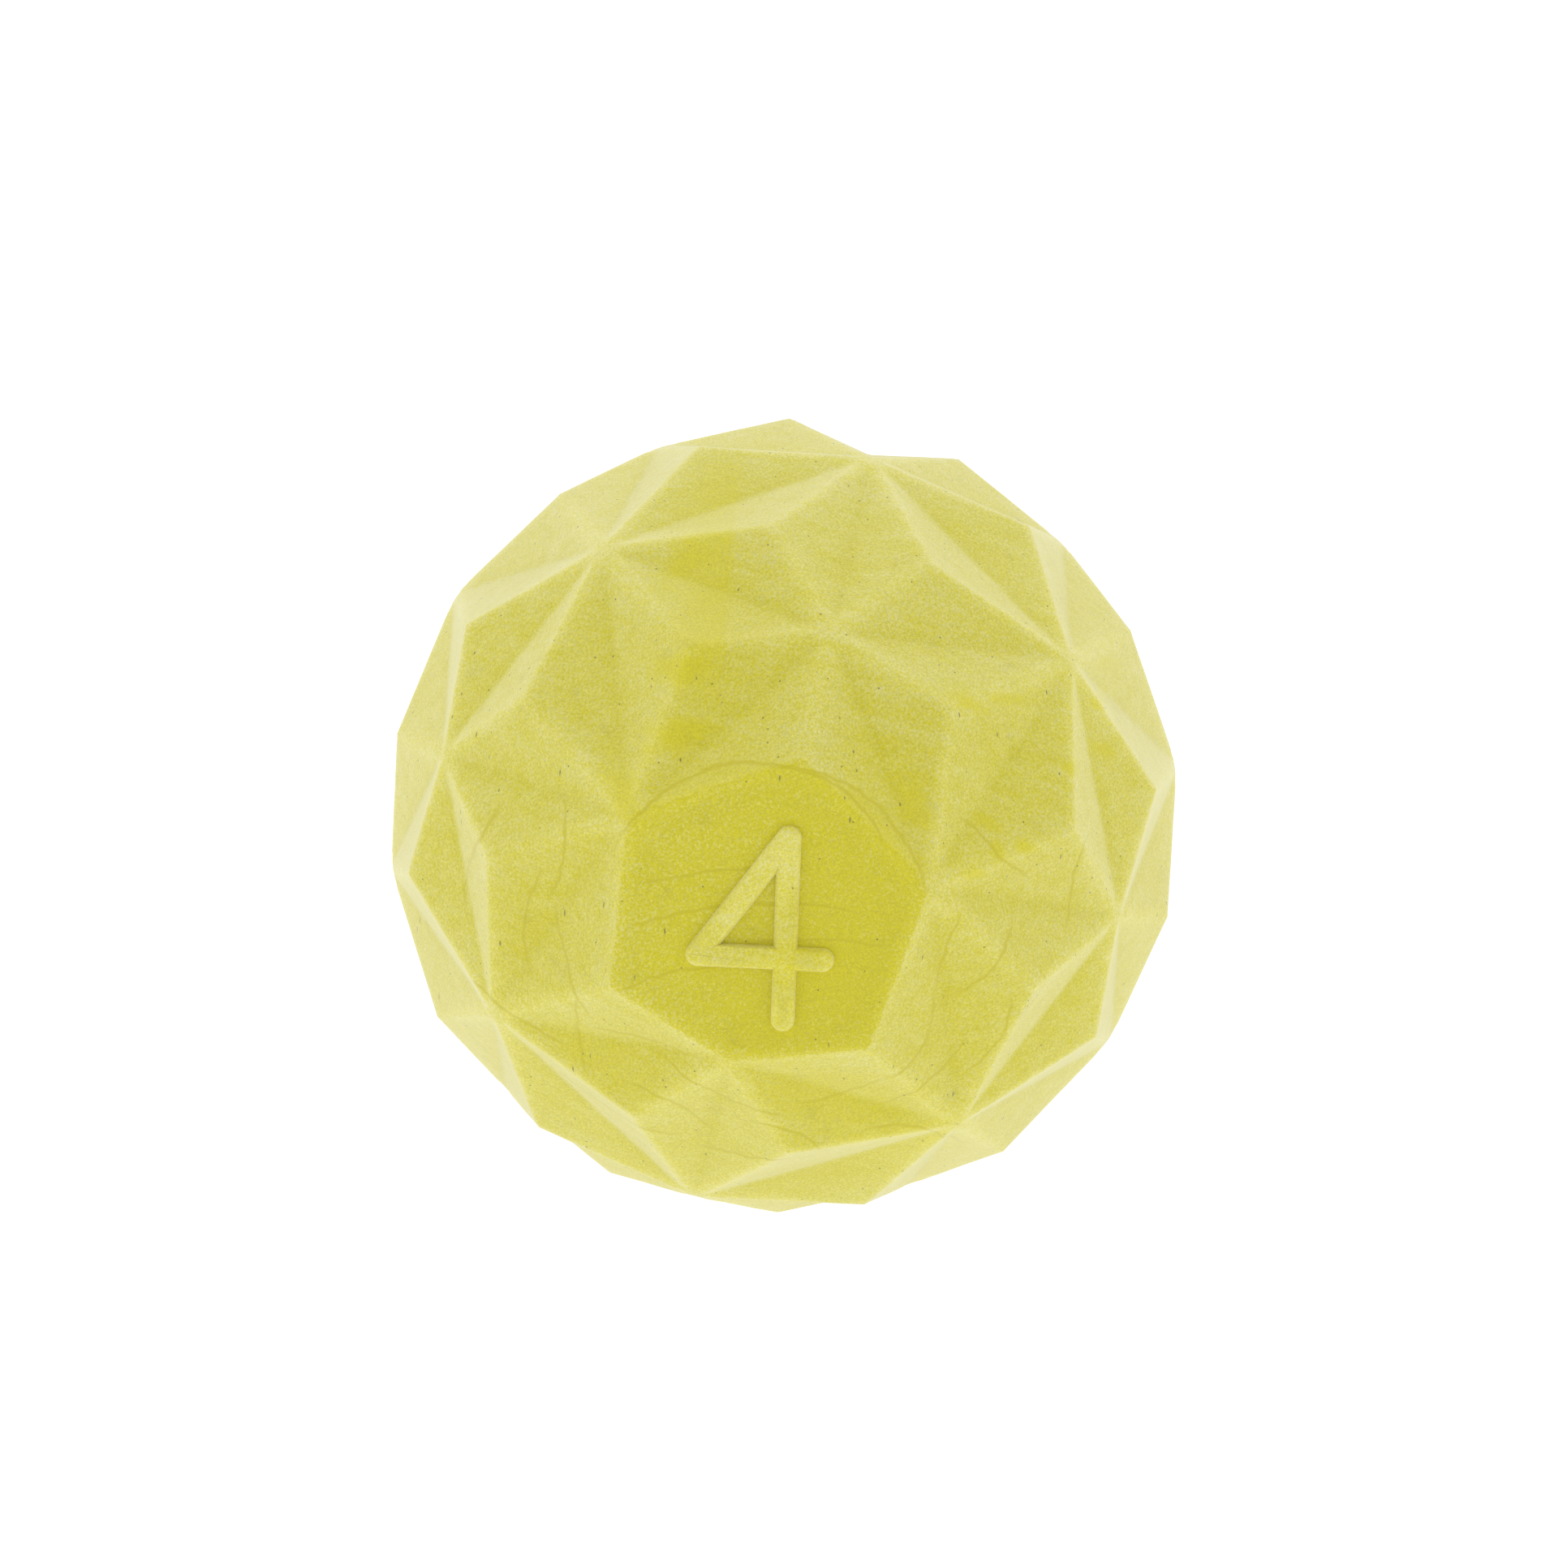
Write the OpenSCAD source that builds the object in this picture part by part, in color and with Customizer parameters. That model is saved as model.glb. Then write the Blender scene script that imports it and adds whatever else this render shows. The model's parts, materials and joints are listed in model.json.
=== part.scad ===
// Faceted golf ball, built in layers: inner core, outer core, mantle and cover.
// The cover is a star-shaped solid of flat triangular facets with icosahedral symmetry. Its
// points are low stars, where five or six valleys meet, and bumps, which stand highest. One bump
// is levelled to a flat panel that carries a raised play number.
// Millimetres. The origin is the ball's centre. +Z is up with the ball resting on three of its
// points, and the flat panel faces -Y.

/* [Ball] */
// Diameter over the tips of the bumps
ball_d = 42.67; // [42.67:0.01:43.2]
// Radius of the stars where five valleys meet, as a share of the tip radius
five_star_share = 0.981; // [0.97:0.001:0.99]
// Radius of the stars where six valleys meet, as a share of the tip radius
six_star_share = 0.994; // [0.985:0.001:0.998]
// Angle at the ball's centre between a five-valley star and each bump around it
bump_angle = 19; // [18:0.1:20]

/* [Layers] */
// Outer diameter of the mantle, which is the bore of the cover
mantle_d = 36.6; // [35.6:0.1:37.2]
// Wall of the mantle
mantle_wall = 1; // [0.8:0.1:1.5]
// Diameter of the inner core
inner_core_d = 24; // [16:0.5:30]

/* [Play number] */
// Height of the raised number
digit_h = 10.6; // [6:0.1:11]
// Width of the raised number
digit_w = 7.4; // [4:0.1:8]
// Width of the number's strokes
digit_stroke = 1.2; // [0.8:0.1:1.6]
// Height of the number above the flat panel
digit_relief = 0.45; // [0.2:0.05:0.6]

/* [Hidden] */

$fn = 96;
tip_r = ball_d / 2;
mantle_r = mantle_d / 2;
outer_core_r = mantle_r - mantle_wall;
inner_core_r = inner_core_d / 2;
// Anything larger than the ball, for cutting it in halves
beyond = ball_d;
// How deep the number's strokes are rooted in the cover
digit_root = 0.4;
// Height of the number's cross bar, as a share of the number's height
digit_bar_share = 0.3;
// How far the number's upright stands from its right edge, as a share of the number's width
digit_stem_share = 0.25;

// ---- Directions of an icosahedral solid ----

// The golden ratio
phi = (1 + sqrt(5)) / 2;
// The twelve directions of the five-valley stars
five_dirs = [
    for (s = [-1, 1], t = [-1, 1], v = [[0, s * phi, t], [t, 0, s * phi], [s * phi, t, 0]])
        unit(v)
];
// The twenty directions of the six-valley stars
six_dirs = [
    for (s = [-1, 1], t = [-1, 1], v = [[s / phi, t * phi, 0], [0, s / phi, t * phi], [t * phi, 0, s / phi]])
        unit(v),
    for (x = [-1, 1], y = [-1, 1], z = [-1, 1])
        unit([x, y, z])
];
star_count = len(five_dirs) + len(six_dirs);
star_dirs = concat(five_dirs, six_dirs);
// Neighbouring stars lie less than this far apart: 37.4 degrees for a five and a six, and 41.8
// degrees for two sixes
neighbour_angle = 45;

function unit(v) = v / norm(v);
function are_neighbours(a, b) = star_dirs[a] * star_dirs[b] > cos(neighbour_angle);

// A bump stands in the middle of each cell of three neighbouring stars, one five and two sixes
cells = [
    for (a = [0 : len(five_dirs) - 1])
        for (b = [len(five_dirs) : star_count - 2])
            if (are_neighbours(a, b))
                for (c = [b + 1 : star_count - 1])
                    if (are_neighbours(a, c) && are_neighbours(b, c))
                        [a, b, c]
];

// Where the bump of a cell stands: out from its five-valley star, towards the far edge's middle
function bump_dir(cell) =
    let (
        star = star_dirs[cell[0]],
        far = unit(star_dirs[cell[1]] + star_dirs[cell[2]]),
        outward = unit(far - (far * star) * star)
    )
    star * cos(bump_angle) + outward * sin(bump_angle);

sharp_points = concat(
    [for (d = five_dirs) d * tip_r * five_star_share],
    [for (d = six_dirs) d * tip_r * six_star_share],
    [for (cell = cells) bump_dir(cell) * tip_r]
);

function bump_index(cell_index) = star_count + cell_index;
function star_index(dir) = [for (i = [0 : star_count - 1]) if (norm(star_dirs[i] - unit(dir)) < 0.01) i][0];
function cell_index(stars) = [for (i = [0 : len(cells) - 1]) if (cells[i] == stars) i][0];
// The cell on the other side of the edge between two stars of a cell
function cell_across(here, star_a, star_b) = [
    for (i = [0 : len(cells) - 1])
        if (i != here && is_in(star_a, cells[i]) && is_in(star_b, cells[i])) i
][0];
function is_in(value, list) = len([for (v = list) if (v == value) 1]) > 0;

// ---- The flat panel ----

// The three stars of the cell whose bump is levelled
panel_five = star_index([0, -phi, -1]);
panel_left = star_index([-1 / phi, -phi, 0]);
panel_right = star_index([1 / phi, -phi, 0]);
panel_stars = [panel_five, min(panel_left, panel_right), max(panel_left, panel_right)];
panel_cell = cell_index(panel_stars);
// The panel's six corners in order: its three stars, and the bumps across the edges between them
panel_corners = [
    panel_five,
    bump_index(cell_across(panel_cell, panel_five, panel_left)),
    panel_left,
    bump_index(cell_across(panel_cell, panel_left, panel_right)),
    panel_right,
    bump_index(cell_across(panel_cell, panel_right, panel_five)),
];
// The panel's plane runs through its five-valley star and the bump opposite, level from side to
// side
panel_rise = sharp_points[panel_corners[3]] - sharp_points[panel_corners[0]];
panel_dir = unit(cross([1, 0, 0], panel_rise));
panel_h = panel_dir * sharp_points[panel_corners[0]];

// A corner of the panel slides along its own radius until it is in the panel's plane
function on_panel(p) = p * panel_h / (panel_dir * p);
ball_points = [
    for (i = [0 : len(sharp_points) - 1])
        is_in(i, panel_corners) ? on_panel(sharp_points[i]) : sharp_points[i]
];

// ---- Facets ----

// A face's points run clockwise seen from outside
function facing_out(face) =
    let (p = ball_points[face[0]], q = ball_points[face[1]], r = ball_points[face[2]])
    cross(q - p, r - p) * p < 0 ? face : [for (i = [len(face) - 1 : -1 : 0]) face[i]];

// Three facets run from each cell's edges up to its bump, except where the panel is
facets = [
    for (i = [0 : len(cells) - 1])
        for (edge = [[0, 1], [0, 2], [1, 2]])
            let (a = cells[i][edge[0]], b = cells[i][edge[1]])
                if (!(is_in(a, panel_stars) && is_in(b, panel_stars)))
                    facing_out([a, b, bump_index(i)])
];
ball_faces = concat(facets, [facing_out(panel_corners)]);

// ---- How the ball rests ----

// It rests across the valley between these two stars, on the six-valley star and on the bumps at
// both sides of the valley
rest_five = star_index([1, 0, -phi]);
rest_six = star_index([0, 1 / phi, -phi]);
rest_cells = [
    for (i = [0 : len(cells) - 1])
        if (is_in(rest_five, cells[i]) && is_in(rest_six, cells[i])) i
];
rest_points = [
    sharp_points[rest_six],
    sharp_points[bump_index(rest_cells[0])],
    sharp_points[bump_index(rest_cells[1])],
];
rest_normal = unit(cross(rest_points[1] - rest_points[0], rest_points[2] - rest_points[0]));
// The row's axes in the solid's own directions: up from the floor, back from the panel, and right
up = rest_normal * rest_points[0] > 0 ? -rest_normal : rest_normal;
back = unit((panel_dir * up) * up - panel_dir);
right = cross(back, up);
panel_lean = asin(panel_dir * up);
settled = [
    [right.x, right.y, right.z, 0],
    [back.x, back.y, back.z, 0],
    [up.x, up.y, up.z, 0],
    [0, 0, 0, 1],
];

// Where a point lies in the panel's own plane, right and up from the foot of the panel's axis
panel_upright = unit(up - (up * panel_dir) * panel_dir);
function in_panel_plane(p) = [p * right, p * panel_upright];
// The number stands about the mean of the panel's corners
corners_in_plane = [for (i = panel_corners) in_panel_plane(ball_points[i])];
panel_centre = [for (i = panel_corners) 1] * corners_in_plane / len(panel_corners);

// ---- Shapes ----

// The cover's outer shape, solid right through
module faceted_ball() {
    multmatrix(settled)
        polyhedron(points = ball_points, faces = ball_faces);
}

// The half of space on the side that the turned Z axis points to
module half_space() {
    translate([0, 0, beyond / 2])
        cube(beyond, center = true);
}

// A stroke of the number from one point to another, with round ends
module stroke(from, to) {
    run = to - from;
    translate(from)
        rotate(atan2(run.y, run.x))
            translate([0, -digit_stroke / 2])
                square([norm(run), digit_stroke]);
    for (end = [from, to])
        translate(end)
            circle(d = digit_stroke);
}

// The play number, a plain four drawn with three strokes about its own middle
module play_number() {
    half_w = (digit_w - digit_stroke) / 2;
    half_h = (digit_h - digit_stroke) / 2;
    stem_x = half_w - digit_w * digit_stem_share;
    bar_y = -half_h + digit_h * digit_bar_share;
    stroke([stem_x, -half_h], [stem_x, half_h]);
    stroke([stem_x, half_h], [-half_w, bar_y]);
    stroke([-half_w, bar_y], [half_w, bar_y]);
}

module raised_play_number() {
    rotate([90 - panel_lean, 0, 0])
        translate([panel_centre.x, panel_centre.y, panel_h - digit_root])
            linear_extrude(digit_root + digit_relief)
                play_number();
}

// A half of a round layer between two radii, on the side that the turned Z axis points to
module half_layer(outer_r, inner_r) {
    difference() {
        intersection() {
            sphere(r = outer_r);
            half_space();
        }
        sphere(r = inner_r);
    }
}

// Turn a half from the Z axis to one of the solid's own axes
module to_front() {
    multmatrix(settled) rotate([90, 0, 0]) children();
}
module to_back() {
    multmatrix(settled) rotate([-90, 0, 0]) children();
}

// ---- Sub-parts ----

// Half of the cover, with the flat panel and the play number
module cover_front() {
    color("#cdc44d") {
        difference() {
            union() {
                intersection() {
                    faceted_ball();
                    to_front() half_space();
                }
                raised_play_number();
            }
            sphere(r = mantle_r);
        }
    }
}

// The other half of the cover, which meets the first along valleys and ridges all round
module cover_back() {
    color("#cdc44d") {
        difference() {
            intersection() {
                faceted_ball();
                to_back() half_space();
            }
            sphere(r = mantle_r);
        }
    }
}

// The mantle's halves meet on a level plane, across the cover's joint
module mantle_upper() {
    color("#ece8d8") half_layer(mantle_r, outer_core_r);
}
module mantle_lower() {
    color("#ece8d8") rotate([180, 0, 0]) half_layer(mantle_r, outer_core_r);
}

// The outer core's halves meet on an upright plane, across both other joints
module outer_core_left() {
    color("#e2a13c") rotate([0, -90, 0]) half_layer(outer_core_r, inner_core_r);
}
module outer_core_right() {
    color("#e2a13c") rotate([0, 90, 0]) half_layer(outer_core_r, inner_core_r);
}

module inner_core() {
    color("#3f8f8a") sphere(r = inner_core_r);
}

cover_front();
cover_back();
mantle_upper();
mantle_lower();
outer_core_left();
outer_core_right();
inner_core();
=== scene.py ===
"""The looks of a faceted golf ball, built round its CAD frame.

Both halves of the cover are modelled again with softened ridges and valleys, cast-surface
unevenness and a rounded play number. The layers inside keep their CAD shapes and get materials.
Metres, in the row frame: +Z up, and the flat panel with its number faces -Y.
"""

import json
import math
import random

import bmesh
import bpy
import numpy as np
from mathutils import Matrix, Vector

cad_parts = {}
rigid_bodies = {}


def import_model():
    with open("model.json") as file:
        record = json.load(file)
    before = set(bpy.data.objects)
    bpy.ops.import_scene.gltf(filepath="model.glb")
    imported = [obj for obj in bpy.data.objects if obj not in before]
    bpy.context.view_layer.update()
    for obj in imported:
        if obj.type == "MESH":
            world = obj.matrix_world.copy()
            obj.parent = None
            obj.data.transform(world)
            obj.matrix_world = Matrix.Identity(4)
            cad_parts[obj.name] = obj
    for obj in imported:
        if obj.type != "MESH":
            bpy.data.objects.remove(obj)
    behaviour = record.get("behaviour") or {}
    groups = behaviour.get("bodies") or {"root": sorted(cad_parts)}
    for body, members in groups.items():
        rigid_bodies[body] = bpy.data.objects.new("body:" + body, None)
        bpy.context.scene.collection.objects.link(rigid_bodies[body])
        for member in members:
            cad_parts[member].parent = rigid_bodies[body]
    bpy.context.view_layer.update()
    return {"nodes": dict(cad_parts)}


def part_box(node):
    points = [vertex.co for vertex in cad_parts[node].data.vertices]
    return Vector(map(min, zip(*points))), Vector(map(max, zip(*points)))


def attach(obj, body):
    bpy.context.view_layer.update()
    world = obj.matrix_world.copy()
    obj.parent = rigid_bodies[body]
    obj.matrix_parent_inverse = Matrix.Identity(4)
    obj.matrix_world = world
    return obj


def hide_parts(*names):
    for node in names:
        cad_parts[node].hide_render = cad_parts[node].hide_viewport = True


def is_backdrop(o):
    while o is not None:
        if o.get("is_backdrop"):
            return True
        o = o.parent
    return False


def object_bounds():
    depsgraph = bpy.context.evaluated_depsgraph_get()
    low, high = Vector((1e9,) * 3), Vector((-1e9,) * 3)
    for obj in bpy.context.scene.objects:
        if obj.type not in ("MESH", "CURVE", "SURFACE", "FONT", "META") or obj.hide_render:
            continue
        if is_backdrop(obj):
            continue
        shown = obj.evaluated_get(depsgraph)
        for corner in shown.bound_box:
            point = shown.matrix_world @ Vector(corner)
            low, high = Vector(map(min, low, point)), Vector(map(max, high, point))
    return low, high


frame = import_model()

MM = 0.001


# ---- Sizes read from the frame ----

COVER_NODES = ("cover_front", "cover_back")
MANTLE_NODES = ("mantle_upper", "mantle_lower")
OUTER_CORE_NODES = ("outer_core_left", "outer_core_right")
INNER_CORE_NODES = ("inner_core",)
BORE_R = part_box("mantle_upper")[1].z
# Two points closer than this are the same point
SAME = 0.005 * MM
# Two directions whose cosine is above this are the same direction
SAME_WAY = 0.9999
# Faces that bend less than these are one: the facets' pieces, and those of the number's top
ONE_FACET = math.radians(0.5)
ONE_TOP = math.radians(1)


# ---- How finely the cover is modelled ----

# Each facet's edges are cut this many times
FACET_CUTS = 34
# Passes of smoothing, which spread a ridge's bend over about 0.4 mm and a valley's over 0.5 mm
RIDGE_PASSES = 2
VALLEY_PASSES = 4
# Rings of vertices on each side of a valley that are smoothed with it
VALLEY_RINGS = 3
# The facets are uneven by this much, over patches of this size
UNEVEN_DEPTH = 0.05 * MM
UNEVEN_SIZE = 5 * MM
# The halves' edges are drawn in by this much, so that the joint shows as a fine line
JOINT_DEPTH = 0.03 * MM
# Rounding of the number's upper edges, and how deep it is rooted below the panel
NUMBER_ROUNDING = 0.3 * MM
NUMBER_ROOT = 0.3 * MM
# Passes of averaging that tell a ridge or valley from the surface about 0.6 mm and 1.1 mm round it
EDGE_PASSES = 14
HOLLOW_PASSES = 60
# Edges that bend more than this look sharp
SHARP_BEND = math.radians(35)
# The number's upper edge bends by more than this, and its flat top by less
RIM_BEND = math.radians(60)
# An edge that bends less than this is flat, as inside the panel
FLAT = math.radians(2)


# ---- Choosing and editing ----

def only(obj):
    """Selects one object alone and makes it the active one."""
    bpy.ops.object.select_all(action="DESELECT")
    obj.select_set(True)
    bpy.context.view_layer.objects.active = obj


def open_mesh(obj, kind):
    """Opens an object in edit mode with nothing selected, and returns its bmesh."""
    only(obj)
    bpy.ops.object.mode_set(mode="EDIT")
    bpy.ops.mesh.select_mode(type=kind)
    bpy.ops.mesh.select_all(action="DESELECT")
    return bmesh.from_edit_mesh(obj.data)


def close_mesh():
    """Goes back to object mode, which stores the open mesh."""
    bpy.ops.object.mode_set(mode="OBJECT")


def pick(parts, test):
    """Selects the parts of an open mesh for which test is true."""
    for part in parts:
        if test(part):
            part.select_set(True)


def mesh_copy(name, mesh):
    """A new object with its own copy of a mesh, on no body yet."""
    obj = bpy.data.objects.new(name, mesh.copy())
    bpy.context.scene.collection.objects.link(obj)
    return obj


# ---- The cover's shape ----

def merged_cad_cover():
    """Copies of the CAD cover halves, joined and merged into one mesh."""
    copies = [mesh_copy("whole_cover", frame["nodes"][node].data) for node in COVER_NODES]
    only(copies[0])
    for other in copies[1:]:
        other.select_set(True)
    bpy.ops.object.join()
    cover = bpy.context.view_layer.objects.active
    bpy.ops.mesh.customdata_custom_splitnormals_clear()
    open_mesh(cover, "VERT")
    bpy.ops.mesh.select_all(action="SELECT")
    bpy.ops.mesh.remove_doubles(threshold=SAME / 5)
    close_mesh()
    return cover


def plane_distance(face):
    """How far a face's plane passes from the ball's centre."""
    return face.normal.dot(face.verts[0].co)


def is_bore(face):
    """Whether a face belongs to the bore, the cover's inner wall."""
    return all(v.co.length < BORE_R + SAME for v in face.verts)


def widest_flat(mesh):
    """The direction of the outer flat with the greatest area, which is the number's panel."""
    flats = {}
    for face in mesh.faces:
        if plane_distance(face) > BORE_R and not is_bore(face):
            key = tuple(round(x, 3) for x in face.normal)
            area, normal = flats.get(key, (0, face.normal.copy()))
            flats[key] = (area + face.calc_area(), normal)
    return max(flats.values(), key=lambda flat: flat[0])[1]


def joint_direction(mesh, front):
    """The direction from the ball's centre into the front half, square to the joint."""
    through_centre = [f for f in mesh.faces if abs(plane_distance(f)) < SAME and not is_bore(f)]
    square = max(through_centre, key=lambda f: f.calc_area()).normal
    return square * math.copysign(1, square.dot(front))


def height(point):
    """How far a point stands from the ball's centre in the panel's direction."""
    return point.dot(panel_dir)


whole_cover = merged_cad_cover()
probe = bmesh.new()
probe.from_mesh(whole_cover.data)
probe.normal_update()
panel_dir = widest_flat(probe)
facing_panel = [f for f in probe.faces if f.normal.dot(panel_dir) > SAME_WAY]
panel_heights = [height(f.calc_center_median()) for f in facing_panel]
PANEL_H = min(h for h in panel_heights if h > BORE_R)
NUMBER_H = max(panel_heights)
joint_dir = joint_direction(probe, panel_dir)
# The panel's middle, and how far its corners stand from it
panel_middle = panel_dir * PANEL_H
panel_faces = [f for f in facing_panel if abs(height(f.calc_center_median()) - PANEL_H) < SAME]
PANEL_R = max((v.co - panel_middle).length for f in panel_faces for v in f.verts)
probe.free()


def number_outline():
    """The flat outline of the play number, from the top of the CAD one."""
    outline = mesh_copy("play_number", whole_cover.data)
    mesh = open_mesh(outline, "FACE")
    pick(mesh.faces, lambda f: height(f.calc_center_median()) < NUMBER_H - SAME)
    bpy.ops.mesh.delete(type="FACE")
    bpy.ops.mesh.select_all(action="SELECT")
    bpy.ops.mesh.dissolve_limited(angle_limit=ONE_TOP)
    close_mesh()
    return outline


def sharp_ball(cover):
    """Clears the bore, the joint and the number away, and leaves the outer facets, one face each."""
    mesh = open_mesh(cover, "FACE")
    pick(mesh.faces, is_bore)
    pick(mesh.faces, lambda f: abs(plane_distance(f)) < SAME)
    pick(mesh.faces, lambda f: height(f.calc_center_median()) > PANEL_H - SAME)
    bpy.ops.mesh.delete(type="FACE")
    bpy.ops.mesh.select_all(action="SELECT")
    bpy.ops.mesh.dissolve_limited(angle_limit=ONE_FACET)
    mesh = bmesh.from_edit_mesh(cover.data)
    bpy.ops.mesh.select_mode(type="EDGE")
    bpy.ops.mesh.select_all(action="DESELECT")
    pick(mesh.edges, lambda e: e.is_boundary)
    bpy.ops.mesh.edge_face_add()
    bpy.ops.mesh.select_mode(type="FACE")
    bpy.ops.mesh.select_all(action="DESELECT")
    mesh = bmesh.from_edit_mesh(cover.data)
    pick(mesh.faces, lambda f: len(f.verts) > 3)
    bpy.ops.mesh.poke()
    close_mesh()


def mark_creases(ball):
    """Marks each ridge as sharp and each valley as a seam, which their cut pieces inherit."""
    mesh = open_mesh(ball, "EDGE")
    mesh.normal_update()
    for edge in mesh.edges:
        bend = edge.calc_face_angle_signed()
        edge.smooth = bend < FLAT
        edge.seam = bend < -FLAT
    close_mesh()


def soften(ball):
    """Cuts the facets finely and rounds the ridges a little and the valleys more."""
    open_mesh(ball, "FACE")
    bpy.ops.mesh.select_all(action="SELECT")
    bpy.ops.mesh.subdivide(number_cuts=FACET_CUTS)
    close_mesh()
    mesh = open_mesh(ball, "EDGE")
    pick(mesh.edges, lambda e: e.seam)
    bpy.ops.mesh.select_mode(type="VERT")
    for _ in range(VALLEY_RINGS):
        bpy.ops.mesh.select_more()
    bpy.ops.mesh.vertices_smooth(factor=0.5, repeat=VALLEY_PASSES)
    close_mesh()
    mesh = open_mesh(ball, "EDGE")
    pick(mesh.edges, lambda e: not e.smooth)
    bpy.ops.mesh.select_mode(type="VERT")
    bpy.ops.mesh.select_more()
    bpy.ops.mesh.vertices_smooth(factor=0.5, repeat=RIDGE_PASSES)
    bpy.ops.mesh.select_all(action="SELECT")
    bpy.ops.mesh.mark_seam(clear=True)
    bpy.ops.mesh.mark_sharp(clear=True)
    close_mesh()


def make_uneven(ball):
    """Gives the flat facets the slight waves of a casting."""
    waves = bpy.data.textures.new("cast_waves", "CLOUDS")
    waves.noise_scale = UNEVEN_SIZE
    waves.noise_depth = 2
    only(ball)
    modifier = ball.modifiers.new("waves", "DISPLACE")
    modifier.texture = waves
    modifier.texture_coords = "LOCAL"
    modifier.strength = UNEVEN_DEPTH
    modifier.mid_level = 0.5
    bpy.ops.object.modifier_apply(modifier="waves")


def raise_number(outline):
    """Makes the flat outline a solid with rounded upper edges, rooted below the panel."""
    open_mesh(outline, "FACE")
    bpy.ops.mesh.select_all(action="SELECT")
    down = -panel_dir * (NUMBER_H - PANEL_H + NUMBER_ROOT)
    bpy.ops.mesh.extrude_region_move(TRANSFORM_OT_translate={"value": down})
    bpy.ops.mesh.select_all(action="SELECT")
    bpy.ops.mesh.normals_make_consistent(inside=False)
    close_mesh()
    mesh = open_mesh(outline, "EDGE")
    pick(mesh.edges, is_upper_rim)
    bpy.ops.mesh.bevel(offset=NUMBER_ROUNDING, segments=4, affect="EDGES")
    close_mesh()


def is_upper_rim(edge):
    """Whether an edge runs round the number's flat top."""
    on_top = all(height(v.co) > NUMBER_H - SAME for v in edge.verts)
    return on_top and edge.calc_face_angle() > RIM_BEND


def unite(obj, tool):
    """Joins a solid into another one, and removes it."""
    only(obj)
    modifier = obj.modifiers.new("unite", "BOOLEAN")
    modifier.operation = "UNION"
    modifier.solver = "EXACT"
    modifier.object = tool
    bpy.ops.object.modifier_apply(modifier="unite")
    bpy.data.objects.remove(tool)


def note_relief(ball, name, passes):
    """Stores how far each point stands above or below the surface round it, in millimetres."""
    mesh = ball.data
    place = np.empty(3 * len(mesh.vertices))
    mesh.vertices.foreach_get("co", place)
    radius = np.linalg.norm(place.reshape(-1, 3), axis=1) / MM
    ends = np.empty(2 * len(mesh.edges), int)
    mesh.edges.foreach_get("vertices", ends)
    one, other = ends.reshape(-1, 2).T
    neighbours = np.bincount(ends, minlength=len(radius))
    level = radius.copy()
    for _ in range(passes):
        total = np.bincount(one, level[other], len(radius)) + np.bincount(other, level[one], len(radius))
        level = (level + total / neighbours) / 2
    relief = mesh.attributes.new(name, "FLOAT", "POINT")
    relief.data.foreach_set("value", (radius - level).astype(np.float32))


def hollow_out(ball):
    """Adds the bore as an inner wall, with its faces towards the centre."""
    bpy.ops.object.select_all(action="DESELECT")
    bpy.ops.mesh.primitive_ico_sphere_add(subdivisions=6, radius=BORE_R)
    bore = bpy.context.view_layer.objects.active
    open_mesh(bore, "FACE")
    bpy.ops.mesh.select_all(action="SELECT")
    bpy.ops.mesh.flip_normals()
    close_mesh()
    only(bore)
    ball.select_set(True)
    bpy.context.view_layer.objects.active = ball
    bpy.ops.object.join()


def is_outer_rim(vert):
    """Whether a point lies on the joint and on the outside."""
    return abs(vert.co.dot(joint_dir)) < SAME and vert.co.length > BORE_R + MM


def cover_half(name, node, side):
    """The half of the hollow ball on one side of the joint, closed along the joint's face."""
    half = mesh_copy(name, whole_cover.data)
    open_mesh(half, "FACE")
    bpy.ops.mesh.select_all(action="SELECT")
    bpy.ops.mesh.bisect(plane_co=(0, 0, 0), plane_no=joint_dir * side, clear_inner=True)
    close_mesh()
    mesh = open_mesh(half, "EDGE")
    pick(mesh.edges, lambda e: e.is_boundary)
    bpy.ops.mesh.bridge_edge_loops()
    bpy.ops.mesh.select_mode(type="VERT")
    bpy.ops.mesh.select_all(action="DESELECT")
    mesh = bmesh.from_edit_mesh(half.data)
    pick(mesh.verts, is_outer_rim)
    drawn_in = 1 - JOINT_DEPTH / BORE_R
    bpy.ops.transform.resize(value=(drawn_in,) * 3, center_override=(0, 0, 0))
    close_mesh()
    only(half)
    bpy.ops.object.shade_smooth_by_angle(angle=SHARP_BEND)
    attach(half, "root")
    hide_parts(node)
    return half


play_number = number_outline()
sharp_ball(whole_cover)
mark_creases(whole_cover)
soften(whole_cover)
make_uneven(whole_cover)
raise_number(play_number)
unite(whole_cover, play_number)
# This relief is used to paint highlight on ridges and shade in hollows in the cover's material
note_relief(whole_cover, "edge", EDGE_PASSES)
note_relief(whole_cover, "hollow", HOLLOW_PASSES)
hollow_out(whole_cover)
front = cover_half("cover_front_shell", "cover_front", 1)
back = cover_half("cover_back_shell", "cover_back", -1)
bpy.data.objects.remove(whole_cover)


# ---- Materials ----

def to_linear(hex_colour):
    """An sRGB hex colour as the linear values that a shader takes."""
    parts = [int(hex_colour[i:i + 2], 16) / 255 for i in (1, 3, 5)]
    linear = [p / 12.92 if p <= 0.04045 else ((p + 0.055) / 1.055) ** 2.4 for p in parts]
    return (*linear, 1)


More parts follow.
